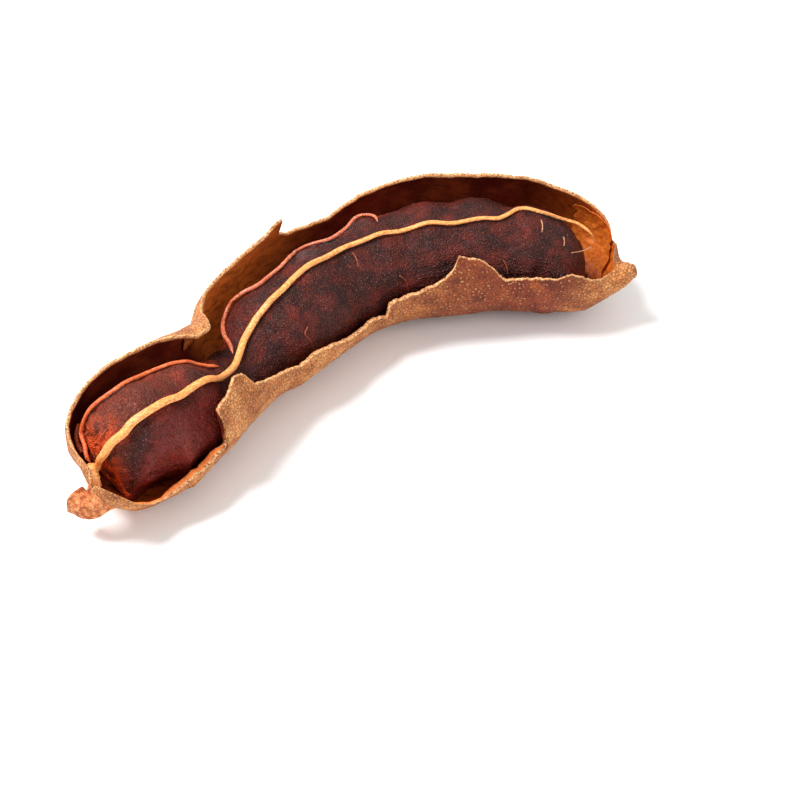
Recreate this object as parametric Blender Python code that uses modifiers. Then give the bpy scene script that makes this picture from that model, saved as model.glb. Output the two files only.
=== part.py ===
"""An opened tamarind pod, lying on its rounded underside, with its pulp and fibres inside.

Metres, +Z up. +X runs along the pod's chord from the stalk to the tip, and the bow of the pod
points to +Y. The origin is on the ground, under the middle of the pod.

Everything follows one curved centre line. A place on the pod is given by how far along that line it
is, and by an angle round it: 0 straight down, 90 on the +Y side, 180 on top, -90 on the -Y side.
"""
import bpy
import bmesh
import numpy as np

MM = 0.001

WALL = 1.0              # thickness of the shell
PULP_GAP = 0.6          # between the pulp and the shell that it lies in
FIBRE_GAP = 0.35        # between a fibre and what it lies on
LEAN = -25.0            # angle at which the pulp lies against the shell
LINING = 0.35           # thickness of the papery lining
LINING_GAP = 0.5        # between the lining and the shell

# The centre line and the shell's outside radius: x, y, z, radius in mm, from the stalk to the tip.
# The two lobes dip a little under the ground, where the underside is pressed flat.
CENTRE_LINE = (
    (-66.2, -22.1, 10.2, 3.7),
    (-64.8, -21.9, 11.2, 7.1),
    (-62.6, -20.9, 12.3, 10.1),
    (-59.3, -18.6, 13.8, 13.4),
    (-54, -14.6, 15.4, 15.9),       # first lobe
    (-45.8, -10.7, 15.5, 15.5),
    (-38.3, -7.5, 14.8, 14.5),
    (-31.3, -4.6, 14.4, 13.1),
    (-23.8, -0.8, 14.0, 12.7),      # neck
    (-17.3, 3.1, 14.7, 15.0),
    (-4.8, 8.1, 15.9, 16.2),        # second lobe
    (10.2, 12.7, 15.7, 16.0),
    (22.2, 13.1, 16.0, 16.3),
    (31.7, 10.8, 16.5, 16.9),
    (40.2, 7.0, 16.5, 16.7),
    (48.2, 3.3, 16.2, 16.1),
    (55.7, -1.8, 15.6, 15.7),
    (61.1, -8.1, 14.6, 14.2),
    (64.8, -13.6, 13.4, 10.2),
    (67.7, -17.4, 13.5, 4.4),
    (70.2, -19.7, 14.8, 1.8),       # beak
)

# The two edges of the opening: how far along in mm, and the angle there. They meet at both ends.
FAR_RIM = (
    (0, 180), (2, 174), (3, 156), (4, 136), (6, 124), (9.5, 112), (12, 111), (15.5, 118),
    (19, 129), (23.5, 135), (28, 140), (31.5, 148), (34.5, 160), (37.5, 174), (42, 172),
    (46, 155), (50, 138), (57, 124), (62, 117), (66.5, 118), (72, 127), (76, 137), (78.4, 143),
    (79.4, 119), (82.5, 108), (87.5, 104), (92, 102), (94, 107), (97.5, 121), (102.5, 127),
    (110.5, 138), (117.5, 136), (121.5, 135), (122.5, 143), (129, 140), (134, 127), (140, 121),
    (145, 113), (147.5, 104), (149.3, 95), (150.6, 100), (151.8, 120), (153, 150), (154, 178),
    (154.7, 208),
)
NEAR_RIM = (
    (0, -180), (1.3, -166), (1.9, -130), (2.5, -92), (4, -70), (6, -67), (9, -73), (13.5, -76),
    (21.5, -75), (28.2, -79), (28.6, -117), (32.5, -122), (36, -132), (38.5, -128), (40.5, -110),
    (48.5, -97), (54, -88), (59, -92), (62.5, -90), (67.5, -84), (72, -77), (81.5, -80),
    (88.3, -74), (89, -89), (101.5, -90), (111, -100), (113, -107), (114.3, -119), (119, -113),
    (122, -105), (126, -95), (136, -99), (144, -105), (146.5, -115), (149, -116), (151, -111),
    (152.5, -111), (153.6, -122), (154.3, -136), (154.7, -152),
)

# The pulp: how far along in mm, and its radius there, then the middles of the seeds under its skin.
PULP = (
    (4, 2.5), (6, 6.5), (9, 9.8), (13, 12.2), (17, 12.8), (22.5, 12.2), (30.5, 11.3), (37.5, 9.0),
    (44.5, 7.4), (50.5, 8.0), (56.5, 9.8), (64.5, 11.0), (75.5, 11.4), (88.5, 11.6), (98.5, 11.9),
    (108.5, 12.3), (118.5, 12.3), (128.5, 12.0), (136.5, 11.0), (142, 8.9), (146, 5.6),
    (148.4, 2.0),
)
SEEDS = (18, 31, 61, 74, 95, 108, 119, 133)
SEED_SWELLING = 0.5     # how far a seed pushes the pulp's skin out
SEED_REACH = 4.0        # how far along the swelling reaches from the seed's middle

# Fibres: how far along in mm, the angle round the pulp, and the height over its skin.
MAIN_STRAND = (
    (5.2, 132, 2.2), (6.8, 159, 0.6), (8.6, 171, 0), (10.2, 183, 0), (12.1, 189, 0), (14.2, 197, 0),
    (17.2, 204, 0), (21, 207, 0), (26, 208, 0), (31, 211, 0), (34.5, 211, 0), (38.3, 208, 0),
    (41.6, 203, 0.2), (46, 192, 0.5), (50.7, 183, 0.3), (55, 182, 0), (60.4, 186, 0), (65, 185, 0),
    (69, 183, 0), (76.5, 186, 0), (86.5, 188, 0), (94, 194, 0), (106.5, 196, 0), (120.5, 196, 0),
    (124.4, 194, 0), (126.5, 188, 0), (129, 178, 0), (134, 178, 0), (136.8, 168, 0.1),
    (139.2, 154, 0.5), (142, 148, 2.4), (144.2, 146, 3.8), (145.9, 136, 4.8),
)
LOWER_STRAND = (
    (6, 117, 2.2), (7.2, 114, 1.2), (9, 112, 0.3), (11.2, 111, 0.1), (12.5, 118, 0), (13.7, 131, 0),
    (14.8, 144, 0), (16.5, 157, 0), (19, 162, 0), (24, 160, 0), (27.3, 169, 0), (30, 178, 0),
    (35, 181, 0), (39.3, 190, 0),
)
BASE_STRAND = ((8.6, 98, 1.2), (10, 97, 1.4), (11.5, 99, 1.2), (13.5, 102, 0.8))
UPPER_STRAND = (
    (46, 180, 0), (48, 166, 0), (51.3, 142, 0), (54, 128, 0), (56.5, 119, 0.2), (58.8, 120, 0.4),
    (61.3, 138, 0.2), (64.3, 150, 0), (68, 151, 0), (72, 155, 0), (76, 150, 0), (80, 134, 0),
    (82, 150, 0), (84, 160, 0), (90, 158, 0), (93, 150, 0), (95.2, 145, 0), (96.2, 153, 0),
    (97, 164, 0), (96.7, 175, 0),
)
CROSS_FIBRES = (
    ((86.3, 197, 0), (86, 206, 0), (85.1, 215, 0)),
    ((96, 244, 0), (98, 251, 0), (98.6, 263, 0)),
    ((125.3, 240, 0), (126.4, 247, 0), (127, 256, 0)),
    ((63.9, 236, 0), (62.1, 241, 0), (62.5, 248, 0), (63.1, 257, 0)),
    ((134.4, 188, 0), (135, 193, 0), (135.4, 202, 0)),
    ((140.4, 183, 0), (141, 188, 0), (141.3, 194, 0)),
)
TIP_FIBRE = ((146.2, 150, 4.4), (145.8, 163, 3.3), (144.7, 181, 1.7), (143.3, 194, 0.5))
BASE_FIBRE = ((8.4, 136, 0), (9, 148, 0), (9.8, 155, 0), (10.8, 163, 0))

# Radius of each fibre at its first and its last point.
MAIN_RADIUS = (0.95, 0.42)
STRAND_RADIUS = (0.45, 0.32)
FIBRE_RADIUS = (0.25, 0.2)

# The papery lining that is left on the shell's inside: where it starts and ends along, then its
# first and last angle at either end.
TIP_LINING = ((139, 76, 112), (149.5, 20, 120))
NECK_LINING = ((44.5, 96, 148), (55.5, 92, 120))

# The stalk: points along it in mm, with its half width there. It is cut off square at the far end.
STALK = (
    (-67.8, -22.3, 9.0, 2.8), (-68.6, -22.1, 8.5, 2.8), (-69.6, -21.2, 8.4, 2.8),
    (-70.3, -19.9, 8.6, 2.9), (-70.9, -18.6, 8.8, 3.2),
)


# ---- the pod's own geometry ----

def smooth(knots, values, at):
    """Read a smooth curve through values at knots, at the places in at."""
    knots = np.asarray(knots, float)
    values = np.asarray(values, float)
    at = np.clip(np.asarray(at, float), knots[0], knots[-1])
    slope = np.gradient(values, knots, axis=0)
    i = np.clip(np.searchsorted(knots, at, side="right") - 1, 0, len(knots) - 2)
    span = knots[i + 1] - knots[i]
    t = (at - knots[i]) / span
    if values.ndim > 1:
        t = t[..., None]
        span = span[..., None]
    ease = t * t * (3 - 2 * t)
    start_slope = slope[i] * span * t * (1 - t) ** 2
    end_slope = slope[i + 1] * span * t * t * (t - 1)
    return values[i] * (1 - ease) + values[i + 1] * ease + start_slope + end_slope


LINE = np.array(CENTRE_LINE)
STEPS = np.linalg.norm(np.diff(LINE[:, :3], axis=0), axis=1)
ALONG = np.concatenate(([0.0], np.cumsum(STEPS)))
LENGTH = ALONG[-1]


def centre(along):
    return smooth(ALONG, LINE[:, :3], along)


def shell_radius(along):
    return smooth(ALONG, LINE[:, 3], along)


def around(along, angle, reach, middle):
    """Points at an angle and a distance from middle, square to the centre line."""
    step = 1.5
    ahead = centre(np.minimum(along + step, LENGTH)) - centre(np.maximum(along - step, 0))
    ahead = ahead / np.linalg.norm(ahead, axis=-1, keepdims=True)
    side = np.cross(np.array((0.0, 0.0, 1.0)), ahead)
    side = side / np.linalg.norm(side, axis=-1, keepdims=True)
    up = np.cross(ahead, side)
    turn = np.radians(angle)[..., None]
    return middle + reach[..., None] * (np.sin(turn) * side - np.cos(turn) * up)


def on_shell(along, angle, inset=0.0):
    """Points on the shell's outside, or inset towards the centre line."""
    along, angle = np.broadcast_arrays(np.asarray(along, float), np.asarray(angle, float))
    return around(along, angle, shell_radius(along) - inset, centre(along))


def pulp_radius(along):
    base = smooth(*np.transpose(PULP), along)
    swelling = sum(np.exp(-((along - seed) / SEED_REACH) ** 2) for seed in SEEDS)
    return base + SEED_SWELLING * swelling


def on_pulp(along, angle, height=0.0):
    """Points on the pulp's skin, or a height over it. The pulp lies against the shell at LEAN."""
    along, angle = np.broadcast_arrays(np.asarray(along, float), np.asarray(angle, float))
    radius = pulp_radius(along)
    offset = shell_radius(along) - WALL - PULP_GAP - radius
    middle = around(along, np.full_like(along, LEAN), offset, centre(along))
    return around(along, angle, radius + height, middle)


# ---- making objects ----

def clear_scene():
    for old in list(bpy.data.objects):
        bpy.data.objects.remove(old, do_unlink=True)


def make_collection(name):
    collection = bpy.data.collections.new(name)
    bpy.context.scene.collection.children.link(collection)
    return collection


def material(name, colour, roughness):
    mat = bpy.data.materials.new(name)
    mat.use_nodes = True
    shader = mat.node_tree.nodes["Principled BSDF"]
    shader.inputs["Base Color"].default_value = (*colour, 1.0)
    shader.inputs["Roughness"].default_value = roughness
    shader.inputs["Metallic"].default_value = 0.0
    return mat


def add_mesh(name, bm, collection, mat):
    mesh = bpy.data.meshes.new(name)
    bm.to_mesh(mesh)
    bm.free()
    mesh.shade_smooth()
    mesh.set_sharp_from_angle(angle=np.radians(50.0))
    mesh.materials.append(mat)
    obj = bpy.data.objects.new(name, mesh)
    collection.objects.link(obj)
    return obj


def add_row(bm, points):
    return [bm.verts.new(point * MM) for point in points]


def join_rows(bm, first, second):
    """Fill between two rows of vertices with quads."""
    for a, b, c, d in zip(first, first[1:], second[1:], second):
        bm.faces.new((a, b, c, d))


def join_point(bm, point, row):
    """Fill between one vertex and a row."""
    for a, b in zip(row, row[1:]):
        bm.faces.new((point, a, b))


def loft(rings, first_end, last_end):
    """A closed body through rings of points, with a point to close each end."""
    bm = bmesh.new()
    rows = [add_row(bm, ring) for ring in rings]
    closed = [row + row[:1] for row in rows]
    for first, second in zip(closed, closed[1:]):
        join_rows(bm, first, second)
    join_point(bm, bm.verts.new(first_end * MM), closed[0])
    join_point(bm, bm.verts.new(last_end * MM), closed[-1][::-1])
    bmesh.ops.recalc_face_normals(bm, faces=bm.faces)
    return bm


def shell_angles(along):
    """Angles from the near rim to the far rim: even steps on the underside, stretched beside the rims."""
    near = np.interp(along, *np.transpose(NEAR_RIM))
    far = np.interp(along, *np.transpose(FAR_RIM))
    near_side = np.linspace(near, -60, 5, endpoint=False)
    underside = np.linspace(-60, 70, 13, endpoint=False)
    far_side = np.linspace(70, far, 8)
    return np.concatenate((near_side, underside, far_side))


def shell(collection, mat):
    """The pod wall: one open skin that is stretched between the rims, thickened inwards."""
    bm = bmesh.new()
    stalk_end = (0, 1.2, 2.4, 3.6, 5, 7, 9.5, 12)
    middle = np.linspace(15, 144, 45)
    tip_end = (146.5, 148.5, 150.2, 151.6, 152.8, 153.8, 154.7, 156.5, 158.2)
    rows = []
    for along in (*stalk_end, *middle, *tip_end):
        points = on_shell(along, shell_angles(along))
        points[:, 2] = np.maximum(points[:, 2], 0.0)
        rows.append(add_row(bm, points))
    for first, second in zip(rows, rows[1:]):
        join_rows(bm, first, second)
    ends = centre(np.array((0.0, 0.5, LENGTH - 0.5, LENGTH)))
    stalk_pole = ends[0] + (ends[0] - ends[1]) * 3.0
    tip_pole = ends[3] + (ends[3] - ends[2]) * 1.5
    join_point(bm, bm.verts.new(stalk_pole * MM), rows[0][::-1])
    join_point(bm, bm.verts.new(tip_pole * MM), rows[-1])
    bmesh.ops.remove_doubles(bm, verts=bm.verts, dist=0.00001)
    bmesh.ops.recalc_face_normals(bm, faces=bm.faces)
    obj = add_mesh("shell", bm, collection, mat)
    solid = obj.modifiers.new("wall", "SOLIDIFY")
    solid.thickness = WALL * MM
    solid.offset = -1.0
    return obj


def pulp(collection, mat):
    """The pulp: one cushion through both lobes, swollen over each seed."""
    ends = PULP[0][0], PULP[-1][0]
    angles = np.linspace(0, 360, 20, endpoint=False)
    alongs = np.concatenate((np.linspace(ends[0], 14, 6), np.linspace(16.5, 144, 44),
                             np.linspace(146, ends[1], 5)))
    rings = [on_pulp(along, angles) for along in alongs]
    bulge = 0.9
    first_end = on_pulp(ends[0] - bulge, angles).mean(axis=0)
    last_end = on_pulp(ends[1] + bulge, angles).mean(axis=0)
    return add_mesh("pulp", loft(rings, first_end, last_end), collection, mat)


def stalk(collection, mat):
    """The stub of stalk: rounded square in section, bent away from the pod, cut off at its end."""
    points = np.array(STALK)
    turns = np.linspace(0, 2 * np.pi, 16, endpoint=False)
    squareness = 1.0 + 0.06 * np.cos(4 * turns + np.pi)
    rings = []
    for point, ahead in zip(points, np.gradient(points[:, :3], axis=0)):
        side = np.cross((0.0, 0.0, 1.0), ahead)
        side /= np.linalg.norm(side)
        up = np.cross(ahead, side)
        up /= np.linalg.norm(up)
        outward = np.cos(turns)[:, None] * side + np.sin(turns)[:, None] * up
        rings.append(point[:3] + point[3] * squareness[:, None] * outward)
    return add_mesh("stalk", loft(rings, points[0, :3], points[-1, :3]), collection, mat)


def fibre(name, route, radius, collection, mat):
    """A fibre over the pulp: a tapered tube along a smooth curve through its route."""
    route = np.array(route, float)
    steps = np.linalg.norm(np.diff(on_pulp(route[:, 0], route[:, 1]), axis=0), axis=1)
    run = np.concatenate(([0.0], np.cumsum(steps)))
    count = max(6, int(run[-1] / 3.0))
    at = np.linspace(0.0, run[-1], count)
    radii = np.linspace(*radius, count)
    along, angle, height = smooth(run, route, at).T
    points = on_pulp(along, angle, height + radii + FIBRE_GAP)
    curve = bpy.data.curves.new(name, "CURVE")
    curve.dimensions = "3D"
    curve.bevel_depth = MM
    curve.bevel_resolution = 2
    curve.use_fill_caps = True
    curve.materials.append(mat)
    spline = curve.splines.new("POLY")
    spline.points.add(count - 1)
    for point, place, size in zip(spline.points, points, radii):
        point.co = (*(place * MM), 1.0)
        point.radius = size
    obj = bpy.data.objects.new(name, curve)
    collection.objects.link(obj)
    return obj


def lining(name, ends, collection, mat):
    """A papery sheet close to the shell's inside, thickened inwards."""
    (start, start_low, start_high), (stop, stop_low, stop_high) = ends
    bm = bmesh.new()
    rows = []
    for part in np.linspace(0, 1, 7):
        along = start + (stop - start) * part
        low = start_low + (stop_low - start_low) * part
        high = start_high + (stop_high - start_high) * part
        rows.append(add_row(bm, on_shell(along, np.linspace(low, high, 9), WALL + LINING_GAP)))
    for first, second in zip(rows, rows[1:]):
        join_rows(bm, first, second)
    bmesh.ops.recalc_face_normals(bm, faces=bm.faces)
    obj = add_mesh(name, bm, collection, mat)
    solid = obj.modifiers.new("thickness", "SOLIDIFY")
    solid.thickness = LINING * MM
    solid.offset = -1.0
    return obj


def main():
    clear_scene()
    pod = make_collection("tamarind_pod")
    shell(pod, material("shell", (0.58, 0.30, 0.13), 0.7))
    stalk(pod, material("stalk", (0.38, 0.16, 0.07), 0.75))
    pulp(pod, material("pulp", (0.07, 0.02, 0.015), 0.35))
    strand = material("strand", (0.85, 0.42, 0.1), 0.45)
    side_strand = material("side_strand", (0.6, 0.15, 0.04), 0.45)
    fibre("main_strand", MAIN_STRAND, MAIN_RADIUS, pod, strand)
    fibre("lower_strand", LOWER_STRAND, STRAND_RADIUS, pod, side_strand)
    fibre("base_strand", BASE_STRAND, STRAND_RADIUS, pod, side_strand)
    fibre("upper_strand", UPPER_STRAND, STRAND_RADIUS, pod, side_strand)
    hair = material("fibre", (0.7, 0.35, 0.2), 0.5)
    for number, route in enumerate(CROSS_FIBRES, start=1):
        fibre(f"cross_fibre_{number}", route, FIBRE_RADIUS, pod, hair)
    fibre("tip_fibre", TIP_FIBRE, FIBRE_RADIUS, pod, hair)
    fibre("base_fibre", BASE_FIBRE, FIBRE_RADIUS, pod, hair)
    paper = material("lining", (0.5, 0.13, 0.02), 0.4)
    lining("tip_lining", TIP_LINING, pod, paper)
    lining("neck_lining", NECK_LINING, pod, paper)


main()
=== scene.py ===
"""Detailed visual model of an opened tamarind pod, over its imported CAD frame.

Sizes are in millimetres until a mesh is made. A place on the pod is given as in the CAD model: how
far along the centre line it is, and an angle round it: 0 straight down, 90 on the far side, 180 on
top, -90 on the near side.
"""

import bpy
import bmesh
import numpy as np
from mathutils import Matrix, Vector, noise


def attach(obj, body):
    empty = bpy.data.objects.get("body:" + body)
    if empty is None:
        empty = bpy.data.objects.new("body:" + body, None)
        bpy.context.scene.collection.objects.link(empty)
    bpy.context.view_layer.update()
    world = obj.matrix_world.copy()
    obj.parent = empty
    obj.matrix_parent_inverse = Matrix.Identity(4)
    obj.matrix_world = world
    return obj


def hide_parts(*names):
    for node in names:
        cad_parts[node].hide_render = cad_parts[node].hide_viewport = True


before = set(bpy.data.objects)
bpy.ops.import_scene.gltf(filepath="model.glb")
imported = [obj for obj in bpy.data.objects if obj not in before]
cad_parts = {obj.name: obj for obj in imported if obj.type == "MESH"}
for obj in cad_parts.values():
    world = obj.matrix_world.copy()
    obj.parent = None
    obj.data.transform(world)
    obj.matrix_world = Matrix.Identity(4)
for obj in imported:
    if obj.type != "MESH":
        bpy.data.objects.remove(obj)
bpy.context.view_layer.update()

MM = 0.001

WALL = 1.0              # thickness of the shell
PULP_GAP = 0.6          # between the pulp and the shell that it lies in
LEAN = -25.0            # angle at which the pulp lies against the shell

# The centre line and the shell's outside radius: x, y, z, radius in mm, from the stalk to the tip.
# The two lobes dip a little under the ground, where the underside is pressed flat.
CENTRE_LINE = (
    (-66.2, -22.1, 10.2, 3.7),
    (-64.8, -21.9, 11.2, 7.1),
    (-62.6, -20.9, 12.3, 10.1),
    (-59.3, -18.6, 13.8, 13.4),
    (-54, -14.6, 15.4, 15.9),       # first lobe
    (-45.8, -10.7, 15.5, 15.5),
    (-38.3, -7.5, 14.8, 14.5),
    (-31.3, -4.6, 14.4, 13.1),
    (-23.8, -0.8, 14.0, 12.7),      # neck
    (-17.3, 3.1, 14.7, 15.0),
    (-4.8, 8.1, 15.9, 16.2),        # second lobe
    (10.2, 12.7, 15.7, 16.0),
    (22.2, 13.1, 16.0, 16.3),
    (31.7, 10.8, 16.5, 16.9),
    (40.2, 7.0, 16.5, 16.7),
    (48.2, 3.3, 16.2, 16.1),
    (55.7, -1.8, 15.6, 15.7),
    (61.1, -8.1, 14.6, 14.2),
    (64.8, -13.6, 13.4, 10.2),
    (67.7, -17.4, 13.5, 4.4),
    (70.2, -19.7, 14.8, 1.8),       # beak
)

# The two edges of the opening: how far along in mm, and the angle there. They meet at both ends.
FAR_RIM = (
    (0, 180), (2, 174), (3, 156), (4, 136), (6, 124), (9.5, 112), (12, 111), (15.5, 118),
    (19, 129), (23.5, 135), (28, 140), (31.5, 148), (34.5, 160), (37.5, 174), (42, 172),
    (46, 155), (50, 138), (57, 124), (62, 117), (66.5, 118), (72, 127), (76, 137), (78.4, 143),
    (79.4, 119), (82.5, 108), (87.5, 104), (92, 102), (94, 107), (97.5, 121), (102.5, 127),
    (110.5, 138), (117.5, 136), (121.5, 135), (122.5, 143), (129, 140), (134, 127), (140, 121),
    (145, 113), (147.5, 104), (149.3, 95), (150.6, 100), (151.8, 120), (153, 150), (154, 178),
    (154.7, 208),
)
NEAR_RIM = (
    (0, -180), (1.3, -166), (1.9, -130), (2.5, -92), (4, -70), (6, -67), (9, -73), (13.5, -76),
    (21.5, -75), (28.2, -79), (28.6, -117), (32.5, -122), (36, -132), (38.5, -128), (40.5, -110),
    (48.5, -97), (54, -88), (59, -92), (62.5, -90), (67.5, -84), (72, -77), (81.5, -80),
    (88.3, -74), (89, -89), (101.5, -90), (111, -100), (113, -107), (114.3, -119), (119, -113),
    (122, -105), (126, -95), (136, -99), (144, -105), (146.5, -115), (149, -116), (151, -111),
    (152.5, -111), (153.6, -122), (154.3, -136), (154.7, -152),
)

# The pulp: how far along in mm, and its radius there, then the middles of the seeds under its skin.
PULP = (
    (4, 2.5), (6, 6.5), (9, 9.8), (13, 12.2), (17, 12.8), (22.5, 12.2), (30.5, 11.3), (37.5, 9.0),
    (44.5, 7.4), (50.5, 8.0), (56.5, 9.8), (64.5, 11.0), (75.5, 11.4), (88.5, 11.6), (98.5, 11.9),
    (108.5, 12.3), (118.5, 12.3), (128.5, 12.0), (136.5, 11.0), (142, 8.9), (146, 5.6),
    (148.4, 2.0),
)
SEEDS = (18, 31, 61, 74, 95, 108, 119, 133)
SEED_SWELLING = 0.5     # how far a seed pushes the pulp's skin out
SEED_REACH = 4.0        # how far along the swelling reaches from the seed's middle

# Fibres: how far along in mm, the angle round the pulp, and the height over its skin.
MAIN_STRAND = (
    (5.2, 132, 2.2), (6.8, 159, 0.6), (8.6, 171, 0), (10.2, 183, 0), (12.1, 189, 0), (14.2, 197, 0),
    (17.2, 204, 0), (21, 207, 0), (26, 208, 0), (31, 211, 0), (34.5, 211, 0), (38.3, 208, 0),
    (41.6, 203, 0.2), (46, 192, 0.5), (50.7, 183, 0.3), (55, 182, 0), (60.4, 186, 0), (65, 185, 0),
    (69, 183, 0), (76.5, 186, 0), (86.5, 188, 0), (94, 194, 0), (106.5, 196, 0), (120.5, 196, 0),
    (124.4, 194, 0), (126.5, 188, 0), (129, 178, 0), (134, 178, 0), (136.8, 168, 0.1),
    (139.2, 154, 0.5), (142, 148, 2.4), (144.2, 146, 3.8), (145.9, 136, 4.8),
)
LOWER_STRAND = (
    (6, 117, 2.2), (7.2, 114, 1.2), (9, 112, 0.3), (11.2, 111, 0.1), (12.5, 118, 0), (13.7, 131, 0),
    (14.8, 144, 0), (16.5, 157, 0), (19, 162, 0), (24, 160, 0), (27.3, 169, 0), (30, 178, 0),
    (35, 181, 0), (39.3, 190, 0),
)
BASE_STRAND = ((8.6, 98, 1.2), (10, 97, 1.4), (11.5, 99, 1.2), (13.5, 102, 0.8))
UPPER_STRAND = (
    (46, 180, 0), (48, 166, 0), (51.3, 142, 0), (54, 128, 0), (56.5, 119, 0.2), (58.8, 120, 0.4),
    (61.3, 138, 0.2), (64.3, 150, 0), (68, 151, 0), (72, 155, 0), (76, 150, 0), (80, 134, 0),
    (82, 150, 0), (84, 160, 0), (90, 158, 0), (93, 150, 0), (95.2, 145, 0), (96.2, 153, 0),
    (97, 164, 0), (96.7, 175, 0),
)
CROSS_FIBRES = (
    ((86.3, 197, 0), (86, 206, 0), (85.1, 215, 0)),
    ((96, 244, 0), (98, 251, 0), (98.6, 263, 0)),
    ((125.3, 240, 0), (126.4, 247, 0), (127, 256, 0)),
    ((63.9, 236, 0), (62.1, 241, 0), (62.5, 248, 0), (63.1, 257, 0)),
    ((134.4, 188, 0), (135, 193, 0), (135.4, 202, 0)),
    ((140.4, 183, 0), (141, 188, 0), (141.3, 194, 0)),
)
TIP_FIBRE = ((146.2, 150, 4.4), (145.8, 163, 3.3), (144.7, 181, 1.7), (143.3, 194, 0.5))
BASE_FIBRE = ((8.4, 136, 0), (9, 148, 0), (9.8, 155, 0), (10.8, 163, 0))

# The papery lining that is left on the shell's inside: where it starts and ends along, then its
# first and last angle at either end.
TIP_LINING = ((139, 76, 112), (149.5, 20, 120))
NECK_LINING = ((44.5, 96, 148), (55.5, 92, 120))

# The stalk: points along it in mm, with its half width there. It is cut off square at the far end.
STALK = (
    (-67.8, -22.3, 9.0, 2.8), (-68.6, -22.1, 8.5, 2.8), (-69.6, -21.2, 8.4, 2.8),
    (-70.3, -19.9, 8.6, 2.9), (-70.9, -18.6, 8.8, 3.2),
)

# How far the torn near edge at the neck leans: place along in mm, lean along the pod in mm.
FLAP_LEAN = ((28.3, 0.0), (28.6, -2.4), (30.5, -2.2), (33.5, -0.3), (36.0, 0.0))

# Low lumps of the shell's outside: height in mm, size in mm, seed of the noise.
SHELL_LUMPS = ((0.22, 7.0, 4.0), (0.14, 2.2, 9.0), (0.08, 1.0, 2.0))
PINCH = 1.5             # how far the top is drawn in behind the beak
HORN = 1.4              # how far the torn point of the far edge stands up
LOOSE_SKIN = 0.9        # how far the inner skin has come loose on the near side of the small lobe
FAR_FROM_RIM = 9.0      # distance from the opening that is given where the pod is closed

OPENING_END = FAR_RIM[-1][0]
INNER_END = 155.2       # how far along the inner skin reaches

# Columns of points across the shell's two skins.
OUTER_COLUMNS = 118
INNER_COLUMNS = 58

# Columns of the broken edge: share of the way to the inner skin, bulge in mm.
EDGE_BULGES = ((0.22, 0.10), (0.5, 0.14), (0.8, 0.08))

# Rings that close the beak: size as a share of the last ring, and how far beyond it in mm.
TIP_RINGS = ((0.94, 0.5), (0.72, 0.85), (0.42, 0.8), (0.25, 0.5))

# Radii of the fibres, evenly spaced from one end to the other.
MAIN_RADII = (1.2, 0.95, 0.85, 0.8, 0.74, 0.66, 0.58, 0.54, 0.48, 0.38)
SIDE_RADII = (0.5, 0.5, 0.45, 0.4)
FINE_RADII = (0.17, 0.11)
FLATNESS = 0.8          # height of a fibre as a share of its width
FIBRE_LIFT = 0.12       # between a fibre's underside and the pulp's smooth skin

# The knob at the stalk end: how far along in mm, angle, depth under the shell's outside, and its radii.
KNOB = ((0.8, 165, 3.0), (1.7, 152, 2.9), (2.9, 142, 3.0))
KNOB_RADII = (1.2, 1.6, 1.5, 1.0)

LINING_DEPTH = WALL + 0.35      # from the shell's outside to the lining
LINING_SHEET = 0.14             # thickness of the lining

# Soft studio light: strength and colour of the surroundings, then each lamp's name, place in m,
# size in m and power in W.
WORLD_LIGHT = 0.7
WORLD_COLOUR = (1.0, 0.995, 0.985, 1.0)
LAMPS = (
    ("key", (-0.35, 0.25, 0.75), 0.4, 11.5),
    ("fill", (0.3, -0.7, 0.5), 0.6, 2.5),
)
FLOOR_HALF = 3.0        # half the floor's width in m

# The camera: turn and rise in degrees, then mm: its distance, the pod's middle, and how far right of
# it and above it the view's middle is.
VIEW_TURN = -30.0
VIEW_RISE = 42.0
VIEW_DISTANCE = 500.0
POD_MIDDLE = (1.2, -8.6, 14.0)
VIEW_SHIFT = (11.25, -12.83)
LENS = 100.0
SENSOR_WIDTH = 36.0

# ---- the pod's own geometry ----

def smooth(knots, values, at):
    """Read a smooth curve through values at knots, at the places in at."""
    knots = np.asarray(knots, float)
    values = np.asarray(values, float)
    at = np.clip(np.asarray(at, float), knots[0], knots[-1])
    slope = np.gradient(values, knots, axis=0)
    i = np.clip(np.searchsorted(knots, at, side="right") - 1, 0, len(knots) - 2)
    span = knots[i + 1] - knots[i]
    t = (at - knots[i]) / span
    if values.ndim > 1:
        t = t[..., None]
        span = span[..., None]
    ease = t * t * (3 - 2 * t)
    start_slope = slope[i] * span * t * (1 - t) ** 2
    end_slope = slope[i + 1] * span * t * t * (t - 1)
    return values[i] * (1 - ease) + values[i + 1] * ease + start_slope + end_slope


LINE = np.array(CENTRE_LINE)
STEPS = np.linalg.norm(np.diff(LINE[:, :3], axis=0), axis=1)
ALONG = np.concatenate(([0.0], np.cumsum(STEPS)))
LENGTH = ALONG[-1]


def centre(along):
    return smooth(ALONG, LINE[:, :3], along)


def shell_radius(along):
    return smooth(ALONG, LINE[:, 3], along)


def around(along, angle, reach, middle):
    """Points at an angle and a distance from middle, square to the centre line."""
    step = 1.5
    ahead = centre(np.minimum(along + step, LENGTH)) - centre(np.maximum(along - step, 0))
    ahead = ahead / np.linalg.norm(ahead, axis=-1, keepdims=True)
    side = np.cross(np.array((0.0, 0.0, 1.0)), ahead)
    side = side / np.linalg.norm(side, axis=-1, keepdims=True)
    up = np.cross(ahead, side)
    turn = np.radians(angle)[..., None]
    return middle + reach[..., None] * (np.sin(turn) * side - np.cos(turn) * up)


def on_shell(along, angle, inset=0.0):
    """Points on the shell's outside, or inset towards the centre line."""
    along, angle = np.broadcast_arrays(np.asarray(along, float), np.asarray(angle, float))
    return around(along, angle, shell_radius(along) - inset, centre(along))


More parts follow.
